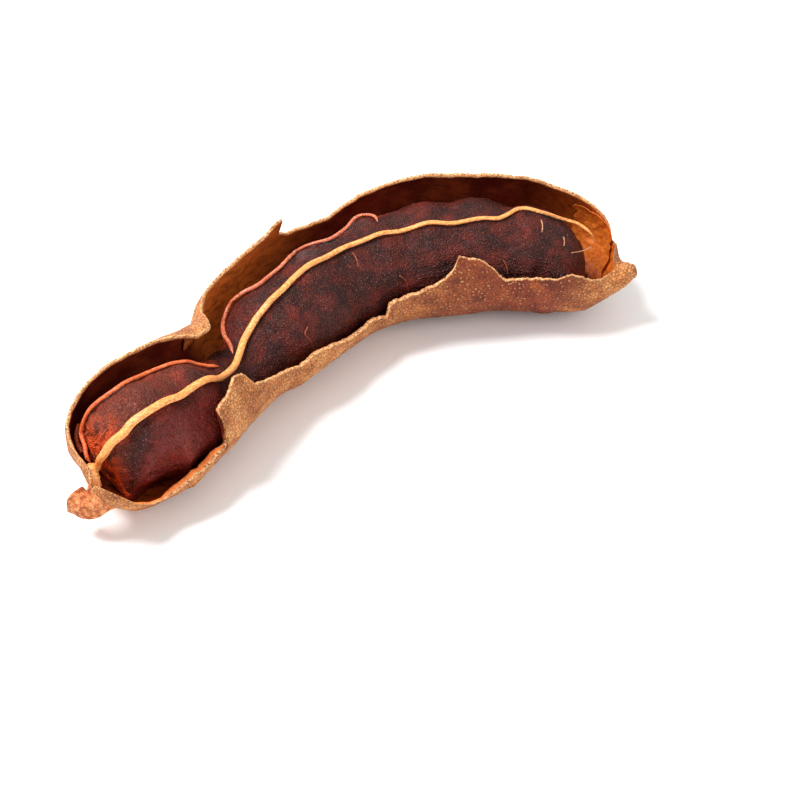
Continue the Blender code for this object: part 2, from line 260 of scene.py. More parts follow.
def pulp_radius(along):
    base = smooth(*np.transpose(PULP), along)
    swelling = sum(np.exp(-((along - seed) / SEED_REACH) ** 2) for seed in SEEDS)
    return base + SEED_SWELLING * swelling


def on_pulp(along, angle, height=0.0):
    """Points on the pulp's skin, or a height over it. The pulp lies against the shell at LEAN."""
    along, angle = np.broadcast_arrays(np.asarray(along, float), np.asarray(angle, float))
    radius = pulp_radius(along)
    offset = shell_radius(along) - WALL - PULP_GAP - radius
    middle = around(along, np.full_like(along, LEAN), offset, centre(along))
    return around(along, angle, radius + height, middle)


# ---- helpers for detail ----

def noise_at(points, size, seed=0.0, octaves=1):
    """Smooth noise, about -1 to 1, with features of about the given size in mm."""
    places = np.asarray(points) / size + seed
    flat = places.reshape(-1, 3).tolist()
    if octaves == 1:
        values = [noise.noise(place) for place in flat]
    else:
        values = [noise.fractal(place, 0.9, 2.1, octaves) for place in flat]
    return np.array(values).reshape(places.shape[:-1])


def wander(along, size, seed):
    """Smooth noise along a line, about -1 to 1."""
    along = np.asarray(along, float)
    places = np.stack((along, np.full_like(along, seed), np.full_like(along, 2.7 * seed)), axis=-1)
    return noise_at(places, size)


def fade(value, start, end):
    """0 before start and 1 after end, with an eased change between."""
    part = np.clip((np.asarray(value, float) - start) / (end - start), 0.0, 1.0)
    return part * part * (3 - 2 * part)


def within(value, start, full, last, end):
    """1 from full to last, and 0 before start and after end, with an eased change between."""
    return fade(value, start, full) * (1 - fade(value, last, end))


def grid_faces(index):
    """Quads between the neighbours of a 2-D array of vertex numbers."""
    quads = np.stack((index[:-1, :-1], index[1:, :-1], index[1:, 1:], index[:-1, 1:]), axis=-1)
    return quads.reshape(-1, 4).tolist()


def fan_faces(pole, ring):
    """Triangles between one vertex number and a row of them."""
    return [(pole, a, b) for a, b in zip(ring, ring[1:])]


def closed(index):
    """The same 2-D array of vertex numbers, with its first column again at its end."""
    return np.concatenate((index, index[:, :1]), axis=1)


def make_piece(name, points, faces, materials, nodes, fields=None, slots=None):
    """A mesh object from points in mm that stands for CAD nodes.

    fields holds numbers for each point that the materials read by name, and slots the number of
    each face's material.
    """
    mesh = bpy.data.meshes.new(name)
    mesh.from_pydata((np.asarray(points) * MM).tolist(), [], faces)
    for field, values in (fields or {}).items():
        attribute = mesh.attributes.new(field, "FLOAT", "POINT")
        attribute.data.foreach_set("value", np.asarray(values, np.float32))
    for each in materials:
        mesh.materials.append(each)
    if slots is not None:
        mesh.polygons.foreach_set("material_index", np.asarray(slots, np.int32))
    bm = bmesh.new()
    bm.from_mesh(mesh)
    bmesh.ops.remove_doubles(bm, verts=bm.verts, dist=0.000002)
    bmesh.ops.dissolve_degenerate(bm, edges=bm.edges, dist=0.0000005)
    bmesh.ops.recalc_face_normals(bm, faces=bm.faces)
    bm.to_mesh(mesh)
    bm.free()
    mesh.shade_smooth()
    obj = bpy.data.objects.new(name, mesh)
    bpy.context.scene.collection.objects.link(obj)
    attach(obj, "root")
    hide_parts(*nodes)
    return obj


# ---- the shell ----

def rim_angles(along):
    """The ragged near and far edges of the opening, which meet and are smooth at both ends."""
    ragged = within(along, 0.3, 2.5, 152.4, 154.5)
    near = np.interp(along, *np.transpose(NEAR_RIM))
    far = np.interp(along, *np.transpose(FAR_RIM))
    to_degrees = np.degrees(1 / np.maximum(shell_radius(along), 2.0)) * ragged
    near_jag = 0.34 * wander(along, 1.9, 3.1) + 0.26 * wander(along, 0.6, 8.4)
    far_jag = 0.26 * wander(along, 2.3, 5.6) + 0.20 * wander(along, 0.65, 1.7)
    return near + near_jag * to_degrees, far + far_jag * to_degrees


def overhang(along, angle):
    """How far the torn flap at the neck leans along the pod: less than 0 is towards the stalk."""
    lean = np.interp(along, *np.transpose(FLAP_LEAN))
    return lean * fade(-angle, 80, 104)


def shell_points(along, angle, depth):
    """Points of the shell's outside, or a depth under it, with its low lumps."""
    along = along + overhang(along, angle)
    middle = centre(along)
    flat = around(along, angle, shell_radius(along), middle)
    lumps = sum(height * noise_at(flat, size, seed) for height, size, seed in SHELL_LUMPS)
    on_top = fade(-np.cos(np.radians(angle)), 0.2, 0.85)
    pinch = PINCH * within(along, 150.8, 153.0, 155.5, 157.5) * on_top
    horn = HORN * within(along, 73.5, 78.0, 78.6, 79.4) * fade(angle, 118, 141)
    points = around(along, angle, shell_radius(along) + lumps - pinch + horn - depth, middle)
    points[..., 2] = np.maximum(points[..., 2], np.minimum(depth, WALL))
    return points


def pod_shell(outside, edge, inside):
    """The brittle pod wall: outer and inner skins, joined by a broken edge round the opening."""
    # Rows of points along the pod, closer together at both ends.
    stations = np.concatenate((np.linspace(0, 8, 40), np.linspace(8.3, 144.7, 368),
                               np.linspace(145, OPENING_END, 50),
                               np.linspace(154.9, LENGTH, 14)))
    near, far = rim_angles(stations)
    open_rows = stations <= OPENING_END

    # Along the near side of the small lobe the inner skin has come loose and thickens the rim.
    loose = LOOSE_SKIN * within(stations, 5, 9, 24, 28)

    def skin(columns, depth, rows, loosened):
        share = np.linspace(0, 1, columns)
        share = 0.72 * share + 0.28 * (0.5 - 0.5 * np.cos(np.pi * share))
        angle = near[rows, None] + (far - near)[rows, None] * share
        along = np.broadcast_to(stations[rows, None], angle.shape)
        gap = np.minimum(share, 1 - share) * np.radians(far - near)[rows, None]
        rim = gap * shell_radius(along) + FAR_FROM_RIM * (~open_rows[rows, None])
        near_side = np.broadcast_to(fade(share, 0.62, 0.38), angle.shape)
        depth = depth + loosened * loose[rows, None] * (1 - fade(rim, 0.4, 3.2)) * near_side
        return shell_points(along, angle, depth), rim, along, near_side

    all_rows = np.arange(len(stations))
    inner_rows = all_rows[stations <= INNER_END]
    thickness = WALL * (0.92 + 0.18 * wander(stations[inner_rows], 2.6, 6.3))
    thickness = thickness * (1 - 0.3 * fade(stations[inner_rows], 138, 148))
    outer, outer_rim, outer_along, outer_near = skin(OUTER_COLUMNS, 0.0, all_rows, 0.0)
    inner, inner_rim, inner_along, inner_near = skin(INNER_COLUMNS, thickness[:, None],
                                                     inner_rows, 1.0)

    # The broken edge bulges a little between the two skins.
    edge_along = stations[open_rows]
    count = len(edge_along)
    radius = np.maximum(shell_radius(edge_along), 3.0)
    closing = within(edge_along, 0.0, 1.5, 153.4, OPENING_END)
    edges = []
    for side, way in ((near[open_rows], -1), (far[open_rows], 1)):
        deep = thickness[:count] + (way < 0) * loose[open_rows]
        columns = []
        for share, bulge in EDGE_BULGES:
            angle = side + way * np.degrees(bulge / radius)
            angle = angle + way * 0.6 * wander(edge_along, 0.5, 11.0 + share + way)
            angle = side + (angle - side) * closing
            columns.append(shell_points(edge_along, angle, deep * share))
        edges.append(np.stack(columns, axis=1))

    # The blunt tip of the beak, with a small dimple where the flower's style was.
    ahead = centre(LENGTH) - centre(LENGTH - 1.0)
    ahead = ahead / np.linalg.norm(ahead)
    tip_rings = []
    for shrink, beyond in TIP_RINGS:
        tip_rings.append(centre(LENGTH) + (outer[-1] - centre(LENGTH)) * shrink + ahead * beyond)
    outer = np.concatenate((outer, np.array(tip_rings)))
    outer_rim, outer_along, outer_near = [
        np.concatenate((values, np.repeat(values[-1:], len(TIP_RINGS), axis=0)))
        for values in (outer_rim, outer_along, outer_near)]

    poles = np.array((centre(0.0) + (centre(0.0) - centre(0.5)) * 2.4, centre(0.2),
                      centre(LENGTH) + ahead * 0.3, centre(156.2)))
    parts = (outer, inner, edges[0], edges[1], poles)
    points = np.concatenate([part.reshape(-1, 3) for part in parts])
    starts = np.cumsum([0] + [part.size // 3 for part in parts])
    index = [start + np.arange(part.size // 3).reshape(part.shape[:-1])
             for start, part in zip(starts, parts)]
    outer_index, inner_index, near_index, far_index, pole_index = index

    skin_faces = grid_faces(outer_index)
    skin_faces += fan_faces(pole_index[0], outer_index[0])
    skin_faces += fan_faces(pole_index[2], outer_index[-1])
    near_strip = np.concatenate((outer_index[:count, :1], near_index,
                                 inner_index[:count, :1]), axis=1)
    far_strip = np.concatenate((outer_index[:count, -1:], far_index,
                                inner_index[:count, -1:]), axis=1)
    edge_faces = grid_faces(near_strip) + grid_faces(far_strip)
    inner_faces = grid_faces(inner_index)
    inner_faces += fan_faces(pole_index[1], inner_index[0])
    inner_faces += fan_faces(pole_index[3], inner_index[-1])

    # What the materials read, in the order of the points: the skins, the two edges, the poles.
    edge_size = count * len(EDGE_BULGES)
    edge_places = np.repeat(edge_along, len(EDGE_BULGES))
    edge_depth = np.tile([share for share, bulge in EDGE_BULGES], 2 * count)
    rim = np.concatenate((outer_rim.ravel(), inner_rim.ravel(), np.zeros(2 * edge_size),
                          np.full(4, FAR_FROM_RIM)))
    along = np.concatenate((outer_along.ravel(), inner_along.ravel(), edge_places, edge_places,
                            (0.0, 0.0, LENGTH, LENGTH)))
    near_side = np.concatenate((outer_near.ravel(), inner_near.ravel(), np.ones(edge_size),
                                np.zeros(edge_size), np.full(4, 0.5)))
    depth = np.concatenate((np.zeros(outer_rim.size), np.ones(inner_rim.size), edge_depth,
                            (0.0, 1.0, 0.0, 1.0)))
    slots = [0] * len(skin_faces) + [1] * len(edge_faces) + [2] * len(inner_faces)
    return make_piece("pod_shell", points, skin_faces + edge_faces + inner_faces,
                      (outside, edge, inside), ("shell",),
                      {"rim": rim, "along": along, "near": near_side, "depth": depth}, slots)


# ---- the pulp ----

def tucked(along, angle):
    """0 on the pulp's open face, rising to 1 where it turns down behind the side strands."""
    lower = np.interp(along, *np.transpose(LOWER_STRAND)[:2])
    # The upper strand's last point turns back along the pod, so it is left out here.
    upper = np.interp(along, *np.transpose(UPPER_STRAND[:-1])[:2])
    behind_lower = fade(lower - angle, 2, 30) * within(along, 8, 12, 34, 43)
    behind_upper = fade(upper - angle, 2, 30) * within(along, 46, 52, 90, 104)
    return np.maximum(behind_lower, behind_upper)


def pulp_points(along, angle):
    """The pulp's skin with its folds and wrinkles, drawn back from the shell near the stalk."""
    flat = on_pulp(along, angle)
    shrunk = 1 - fade(along, 9, 19)
    near_side = within(angle, 222, 258, 330, 350)
    drawn_back = (2.6 * (1 - fade(along, 10, 18)) + 1.3 * (1 - fade(along, 24, 32))) * near_side
    main = np.interp(along, *np.transpose(MAIN_STRAND)[:2])
    drawn_back = drawn_back + 1.7 * fade(main - angle, 6, 34) * fade(along, 121, 129)
    low_end = fade(along, 137, 145) * within(angle, 212, 245, 300, 335)
    folds = 0.30 * noise_at(flat, 5.5, 3.0, 3) + 0.16 * noise_at(flat, 1.7, 7.0)
    wrinkles = 0.10 * noise_at(flat, 0.8, 5.0) - 0.16 * np.abs(noise_at(flat, 1.05, 2.0))
    shrivel = np.abs(noise_at(flat, 2.6, 12.0)) + 0.5 * np.abs(noise_at(flat, 1.2, 8.0))
    height = folds + wrinkles - shrunk * (1.1 * shrivel - 0.15) - drawn_back + 0.9 * low_end
    ahead = centre(along + 0.5) - centre(along - 0.5)
    skin = on_pulp(along, angle, height - 1.5 * tucked(along, angle))
    return skin + 2.3 * low_end[..., None] * ahead


def pod_pulp(mat):
    """The sticky pulp: one cushion through both lobes, swollen over each seed."""
    ends = PULP[0][0], PULP[-1][0]
    stations = np.concatenate((np.linspace(ends[0], 18, 70), np.linspace(18.3, 140, 356),
                               np.linspace(140.3, ends[1], 40)))
    angles = np.concatenate((np.linspace(95, 290, 160), np.linspace(295, 450, 44)))
    along, angle = np.meshgrid(stations, angles, indexing="ij")
    angle = angle % 360
    skin = pulp_points(along, angle)
    poles = np.array((on_pulp(ends[0] - 0.9, angles).mean(axis=0),
                      on_pulp(ends[1] + 0.9, angles).mean(axis=0)))
    points = np.concatenate((skin.reshape(-1, 3), poles))
    index = closed(np.arange(skin.size // 3).reshape(along.shape))
    last = skin.size // 3
    faces = grid_faces(index) + fan_faces(last, index[0]) + fan_faces(last + 1, index[-1])
    fields = {"along": np.append(along.ravel(), ends),
              "turn": np.append(angle.ravel(), (0.0, 0.0)),
              "tuck": np.append(tucked(along, angle).ravel(), (0.0, 0.0))}
    return make_piece("pod_pulp", points, faces, (mat,), ("pulp",), fields)


# ---- fibres ----

def route_points(route, count, height):
    """Evenly spaced points of a fibre's route over the pulp."""
    route = np.array(route, float)
    steps = np.linalg.norm(np.diff(on_pulp(route[:, 0], route[:, 1]), axis=0), axis=1)
    run = np.concatenate(([0.0], np.cumsum(steps)))
    at = np.linspace(0.0, run[-1], count)
    along, angle, over = smooth(run, route, at).T
    return on_pulp(along, angle, over + height)


def tube_rings(line, radii, sides, flatness, seed, ragged):
    """Rings round a line of points, flattened against the pulp and uneven along their length."""
    ahead = np.gradient(line, axis=0)
    ahead /= np.linalg.norm(ahead, axis=1, keepdims=True)
    up = np.tile((0.0, 0.0, 1.0), (len(line), 1))
    side = np.cross(ahead, up)
    side /= np.linalg.norm(side, axis=1, keepdims=True)
    up = np.cross(side, ahead)
    turns = np.linspace(0, 2 * np.pi, sides, endpoint=False)
    run = np.concatenate(([0.0], np.cumsum(np.linalg.norm(np.diff(line, axis=0), axis=1))))
    run, turn = np.meshgrid(run, turns, indexing="ij")
    places = np.stack((run * 0.22, 1.6 * np.cos(turn), 1.6 * np.sin(turn)), axis=-1)
    uneven = 1 + ragged * noise_at(places, 1.0, seed) + 0.4 * ragged * noise_at(places, 0.4, seed)
    reach = np.asarray(radii)[:, None] * uneven
    across = reach * np.cos(turn)
    over = reach * np.sin(turn) * flatness
    return line[:, None] + across[..., None] * side[:, None] + over[..., None] * up[:, None]


def tube_faces(rings, start):
    """The points and faces of a tube with rounded ends, numbered from start."""
    count = rings.shape[0] * rings.shape[1]
    index = closed(start + np.arange(count).reshape(rings.shape[:2]))
    ends = np.array((rings[0].mean(axis=0) * 1.6 - rings[1].mean(axis=0) * 0.6,
                     rings[-1].mean(axis=0) * 1.6 - rings[-2].mean(axis=0) * 0.6))
    faces = grid_faces(index) + fan_faces(start + count, index[0])
    faces += fan_faces(start + count + 1, index[-1])
    return np.concatenate((rings.reshape(-1, 3), ends)), faces


def fibre_bundle(name, tubes, mat, nodes):
    """One piece from several tubes, each a ring array."""
    points, faces = [], []
    start = 0
    for rings in tubes:
        tube, tube_quads = tube_faces(rings, start)
        points.append(tube)
        faces += tube_quads
        start += len(tube)
    return make_piece(name, np.concatenate(points), faces, (mat,), nodes)


def taper(count, radii, seed, variation):
    """Radii along a fibre that swell and narrow a little, and close at both ends."""
    share = np.linspace(0, 1, count)
    even = np.interp(share, np.linspace(0, 1, len(radii)), radii)
    even = even * (1 + variation * wander(share * 60, 4.0, seed))
    return even * np.sqrt(np.clip(np.minimum(share, 1 - share) * 40, 0.15, 1.0))


def knob_rings():
    """The knob that the strands meet in, where the stalk comes through the shell's end."""
    along, angle, height = MAIN_STRAND[0]
    knots = np.vstack([on_shell(*place) for place in KNOB] + [on_pulp(along, angle, height + 1.0)])
    count = 30
    line = smooth(np.arange(len(knots)), knots, np.linspace(0, len(knots) - 1, count))
    return tube_rings(line, taper(count, KNOB_RADII, 21.0, 0.1), 18, 0.9, 21.0, 0.2)


def strand(name, route, radii, sides, mat, nodes, seed, ragged=0.16, sunk=0.0, more=()):
    """A fibre over the pulp. radii are evenly spaced along it, and it may be partly sunk."""
    count = len(route) * 14
    reach = taper(count, radii, seed, 0.6 * ragged)
    line = route_points(route, count, reach * FLATNESS + FIBRE_LIFT - sunk)
    rings = tube_rings(line, reach, sides, FLATNESS, seed, ragged)
    return fibre_bundle(name, [rings, *more], mat, nodes)


# ---- linings and stalk ----

def lining(name, ends, torn, seed, mat, node):
    """A papery sheet with torn edges, close to the shell's inside."""
    (start, start_low, start_high), (stop, stop_low, stop_high) = ends
    rows, columns = 60, 60
    part, share = np.meshgrid(np.linspace(0, 1, rows), np.linspace(0, 1, columns), indexing="ij")
    border = np.minimum(np.minimum(part, 1 - part), np.minimum(share, 1 - share))
    low = start_low + (stop_low - start_low) * part
    high = start_high + (stop_high - start_high) * part
    along = start + (stop - start) * part
    angle = low + (high - low) * share
    flat = on_shell(along, angle, LINING_DEPTH)
    tear = torn * noise_at(flat, 2.2, seed, 2) * (1 - fade(border, 0.0, 0.25))
    along = along + tear
    angle = angle + 4.0 * tear
    crumple = 0.35 * noise_at(flat, 3.0, seed + 2, 3)
    skins = [on_shell(along, angle, LINING_DEPTH + crumple + depth)
             for depth in (0.0, LINING_SHEET)]
    points = np.concatenate([skin.reshape(-1, 3) for skin in skins])
    top = np.arange(rows * columns).reshape(rows, columns)
    under = top + rows * columns
    faces = grid_faces(top) + grid_faces(under)
    for first, second in ((top[0], under[0]), (top[-1], under[-1]),
                          (top[:, 0], under[:, 0]), (top[:, -1], under[:, -1])):
        faces += grid_faces(np.stack((first, second)))
    return make_piece(name, points, faces, (mat,), (node,))


def pod_stalk(bark, cut):
    """The stub of stalk: cracked bark, flared at the pod and cut off at its end."""
    points = np.array(STALK)
    root = centre(0.0)
    knots = np.vstack(([*root, 3.9], points))
    steps = np.linalg.norm(np.diff(knots[:, :3], axis=0), axis=1)
    run = np.concatenate(([0.0], np.cumsum(steps)))
    at = np.linspace(0.0, run[-1], 46)
    line = smooth(run, knots, at)
    turns = np.linspace(0, 2 * np.pi, 72, endpoint=False)
    aheads = np.gradient(line[:, :3], axis=0)
    rings = []
    for place, ahead in zip(line, aheads):
        side = np.cross((0.0, 0.0, 1.0), ahead)
        side /= np.linalg.norm(side)
        up = np.cross(ahead, side)
        up /= np.linalg.norm(up)
        outward = np.cos(turns)[:, None] * side + np.sin(turns)[:, None] * up
        square = (np.abs(np.cos(turns)) ** 5 + np.abs(np.sin(turns)) ** 5) ** -0.2
        ring = place[:3] + 0.86 * place[3] * (0.25 + 0.75 * square[:, None]) * outward
        lump = 0.20 * noise_at(ring, 2.6, 3.0, 2) + 0.10 * noise_at(ring, 0.7, 6.0)
        rings.append(ring + lump[:, None] * outward)
    rings = np.array(rings)
    face_rings = []
    ahead = aheads[-1] / np.linalg.norm(aheads[-1])
    for shrink in (0.95, 0.86, 0.7, 0.5, 0.3, 0.12):
        ring = line[-1, :3] + (rings[-1] - line[-1, :3]) * shrink
        ragged = 0.16 * noise_at(ring, 0.9, 5.0, 2) - 0.25 * fade(shrink, 0.3, 0.0)
        face_rings.append(ring + ahead * (0.12 + ragged[:, None]))
    side_count = len(rings)
    every = np.concatenate((rings, np.array(face_rings)))
    index = closed(np.arange(every.size // 3).reshape(every.shape[:2]))
    pole = every.size // 3
    points = np.concatenate((every.reshape(-1, 3), [line[0, :3], line[-1, :3] - ahead * 0.1]))
    bark_faces = grid_faces(index[:side_count]) + fan_faces(pole, index[0])
    cut_faces = grid_faces(index[side_count - 1:]) + fan_faces(pole + 1, index[-1])
    slots = [0] * len(bark_faces) + [1] * len(cut_faces)
    return make_piece("pod_stalk", points, bark_faces + cut_faces, (bark, cut), ("stalk",),
                      slots=slots)


# ---- materials ----

class Paint:
    """Builds one procedural material around a Principled shader, in millimetres."""

    def __init__(self, name, roughness, specular):
        self.mat = bpy.data.materials.new(name)
        self.mat.use_nodes = True
        self.tree = self.mat.node_tree
        self.shader = self.tree.nodes["Principled BSDF"]
        self.shader.inputs["Roughness"].default_value = roughness
        self.shader.inputs["Specular IOR Level"].default_value = specular
        place = self.node("ShaderNodeTexCoord").outputs["Object"]
        scale = self.node("ShaderNodeVectorMath", operation="SCALE")
        scale.inputs["Scale"].default_value = 1000.0
        self.link(place, scale.inputs[0])
        self.place = scale.outputs[0]

    def node(self, kind, **settings):
        made = self.tree.nodes.new(kind)
        for key, value in settings.items():
            setattr(made, key, value)
        return made

    def link(self, start, end):
        self.tree.links.new(start, end)

    def plug(self, value, socket):
        if isinstance(value, bpy.types.NodeSocket):
            self.link(value, socket)
        else:
            socket.default_value = value

    def field(self, name):
        return self.node("ShaderNodeAttribute", attribute_name=name).outputs["Fac"]

    def noise(self, size, detail=2.0, rough=0.55, distortion=0.0, place=None):
        made = self.node("ShaderNodeTexNoise")
        self.link(place or self.place, made.inputs["Vector"])
        made.inputs["Scale"].default_value = 1.0 / size
        made.inputs["Detail"].default_value = detail
        made.inputs["Roughness"].default_value = rough
        made.inputs["Distortion"].default_value = distortion
        return made.outputs["Fac"]

    def stretched(self, share):
        """The place with X scaled by share, which draws a pattern out along the pod."""
        made = self.node("ShaderNodeMapping")
        self.link(self.place, made.inputs["Vector"])
        made.inputs["Scale"].default_value = (share, 1.0, 1.0)
        return made.outputs["Vector"]

    def cells(self, size, feature, smooth_by=None):
        made = self.node("ShaderNodeTexVoronoi", feature=feature)
        self.link(self.place, made.inputs["Vector"])
        made.inputs["Scale"].default_value = 1.0 / size
        if smooth_by is not None:
            made.inputs["Smoothness"].default_value = smooth_by
        return made.outputs["Distance"]

    def spread(self, value, low, high, to_low=0.0, to_high=1.0):
        made = self.node("ShaderNodeMapRange", interpolation_type="SMOOTHSTEP")
        self.link(value, made.inputs["Value"])
        made.inputs["From Min"].default_value = low
        made.inputs["From Max"].default_value = high
        made.inputs["To Min"].default_value = to_low
        made.inputs["To Max"].default_value = to_high
        return made.outputs["Result"]

    def math(self, operation, first, second):
        made = self.node("ShaderNodeMath", operation=operation)
        self.plug(first, made.inputs[0])
        self.plug(second, made.inputs[1])
        return made.outputs[0]

    def times(self, first, second):
        return self.math("MULTIPLY", first, second)

    def mix(self, share, first, second):
        made = self.node("ShaderNodeMix", data_type="RGBA")
        self.plug(share, made.inputs["Factor"])
        for value, key in ((first, 6), (second, 7)):
            if isinstance(value, tuple):
                value = (*linear(value), 1.0)
            self.plug(value, made.inputs[key])
        return made.outputs[2]

    def ramp(self, value, *stops):
        made = self.node("ShaderNodeValToRGB")
        self.link(value, made.inputs["Fac"])
        elements = made.color_ramp.elements
        while len(elements) < len(stops):
            elements.new(0.5)
        for element, (at, colour) in zip(elements, stops):
            element.position = at
            element.color = (*linear(colour), 1.0)
        return made.outputs["Color"]

    def soften(self, weight, radius, depth_mm):
        """Lets light a little way into the surface."""
        self.shader.inputs["Subsurface Weight"].default_value = weight
        self.shader.inputs["Subsurface Radius"].default_value = radius
        self.shader.inputs["Subsurface Scale"].default_value = depth_mm * MM

    def bump(self, height, depth_mm, strength, below=None):
        made = self.node("ShaderNodeBump")
        self.link(height, made.inputs["Height"])
        made.inputs["Distance"].default_value = depth_mm * MM
        made.inputs["Strength"].default_value = strength
        if below is not None:
            self.link(below, made.inputs["Normal"])
        return made.outputs["Normal"]

    def finish(self, colour, normal=None, roughness=None):
        self.link(colour, self.shader.inputs["Base Color"])
        if normal is not None:
            self.link(normal, self.shader.inputs["Normal"])
        if roughness is not None:
            self.link(roughness, self.shader.inputs["Roughness"])
        return self.mat


def linear(colour):
    """The linear value of an sRGB colour given from 0 to 255."""
    share = np.asarray(colour, float) / 255.0
    value = np.where(share <= 0.04045, share / 12.92, ((share + 0.055) / 1.055) ** 2.4)
    return tuple(float(part) for part in value)


def shell_outside():
    """Dry skin in small rounded pebbles, tan at the neck, redder and darker along the pod, tan at the
    beak. The redder, darker middle is partly the skin's own colour and partly painted shade; the
    grooves between the pebbles hold painted shade and the pebbles' crowns painted highlights.
    """
    paint = Paint("shell outside", 0.7, 0.3)
    wobble = paint.noise(1.6, 2.0)
    pebble = paint.cells(0.95, "SMOOTH_F1", 0.25)
    dome = paint.spread(pebble, 0.62, 0.05)
    crack = paint.cells(0.95, "DISTANCE_TO_EDGE")
    patch = paint.noise(5.0, 4.0, 0.6)
    tan = paint.ramp(patch, (0.3, (162, 92, 44)), (0.5, (202, 128, 68)), (0.7, (228, 162, 98)))
    red = paint.ramp(patch, (0.3, (98, 32, 10)), (0.5, (136, 55, 21)), (0.7, (174, 90, 40)))
    along = paint.field("along")
    # Redder and darker along the middle of the pod: partly the skin's own colour, partly painted shade.
    redder_and_shaded = paint.times(paint.spread(along, 64.0, 132.0), paint.spread(along, 156.0, 143.0))
    skin = paint.mix(redder_and_shaded, tan, red)
    # Painted shade: the grooves between the pebbles are darkened.
    deep = paint.spread(crack, 0.0, 0.2)
    colour = paint.mix(deep, paint.mix(0.68, skin, (78, 28, 10)), skin)
    # Painted highlights: lighter speckles on the crowns of the pebbles.
    crown_highlight = paint.spread(dome, 0.5, 0.9)
    speckle_highlight = paint.times(crown_highlight, paint.spread(paint.noise(1.6, 3.0), 0.38, 0.58))
    colour = paint.mix(paint.times(speckle_highlight, 0.48), colour, (230, 168, 116))
    wavy_rim = paint.math("ADD", paint.field("rim"), paint.times(wobble, 0.9))
    worn = paint.spread(wavy_rim, 0.25, 0.85)
    colour = paint.mix(paint.math("MAXIMUM", worn, 0.25), (226, 168, 116), colour)
    low = paint.bump(patch, 0.3, 0.5)
    normal = paint.bump(dome, 0.5, 1.0, low)
    fine = paint.bump(paint.noise(0.22, 2.0), 0.05, 0.6, normal)
    return paint.finish(colour, fine)


def shell_edge():
    """The broken edge: tan and cream in short fibres with dark dashes, orange at the stalk end; its
    palest cream flecks are painted highlights.
    """
    paint = Paint("shell edge", 0.6, 0.35)
    grain = paint.noise(0.42, 3.0, 0.65)
    patch = paint.noise(2.2, 2.0)
    # Tan grain of the edge's own colour; the palest cream stop is a painted highlight.
    colour = paint.ramp(grain, (0.36, (112, 56, 26)), (0.47, (196, 132, 80)), (0.62, (244, 196, 140)))
    dashes = paint.spread(patch, 0.40, 0.30)
    colour = paint.mix(paint.times(dashes, 0.7), colour, (110, 50, 20))
    inner_half = paint.spread(paint.field("depth"), 0.42, 0.62)
    colour = paint.mix(paint.times(inner_half, 0.5), colour, (150, 80, 34))
    small_lobe = paint.times(paint.spread(paint.field("along"), 29.0, 25.0), paint.field("near"))
    small_lobe = paint.times(small_lobe, paint.spread(paint.field("depth"), 0.25, 0.5))
    colour = paint.mix(paint.times(small_lobe, 0.85), colour, (240, 122, 46))
    return paint.finish(colour, paint.bump(grain, 0.15, 1.0))


def shell_inside():
    """The inner skin: glossy red brown, amber towards the tip, with veins along the pod."""
    paint = Paint("shell inside", 0.5, 0.4)
    veins = paint.noise(1.4, 4.0, 0.6, 0.6, paint.stretched(0.35))
    patch = paint.noise(8.0, 3.0, 0.5)
    colour = paint.ramp(patch, (0.36, (88, 20, 7)), (0.52, (112, 32, 10)), (0.66, (140, 52, 16)))
    along = paint.field("along")
    middle = paint.times(paint.spread(along, 46.0, 56.0), paint.spread(along, 92.0, 68.0))
    colour = paint.mix(paint.times(middle, 0.9), colour, (242, 126, 46))
    amber = paint.spread(along, 128.0, 149.0)
    colour = paint.mix(paint.times(amber, 0.95), colour, (218, 108, 32))
    near_red = paint.times(paint.spread(along, 30.0, 22.0), paint.field("near"))
    colour = paint.mix(paint.times(near_red, 0.9), colour, (232, 104, 38))
    dark = paint.spread(veins, 0.34, 0.58)
    colour = paint.mix(dark, paint.mix(0.5, colour, (70, 18, 6)), colour)
    edge = paint.spread(paint.field("rim"), 0.05, 0.55)
    colour = paint.mix(edge, (196, 120, 62), colour)
    normal = paint.bump(veins, 0.22, 0.6)
    return paint.finish(colour, normal, paint.spread(patch, 0.3, 0.7, 0.4, 0.6))


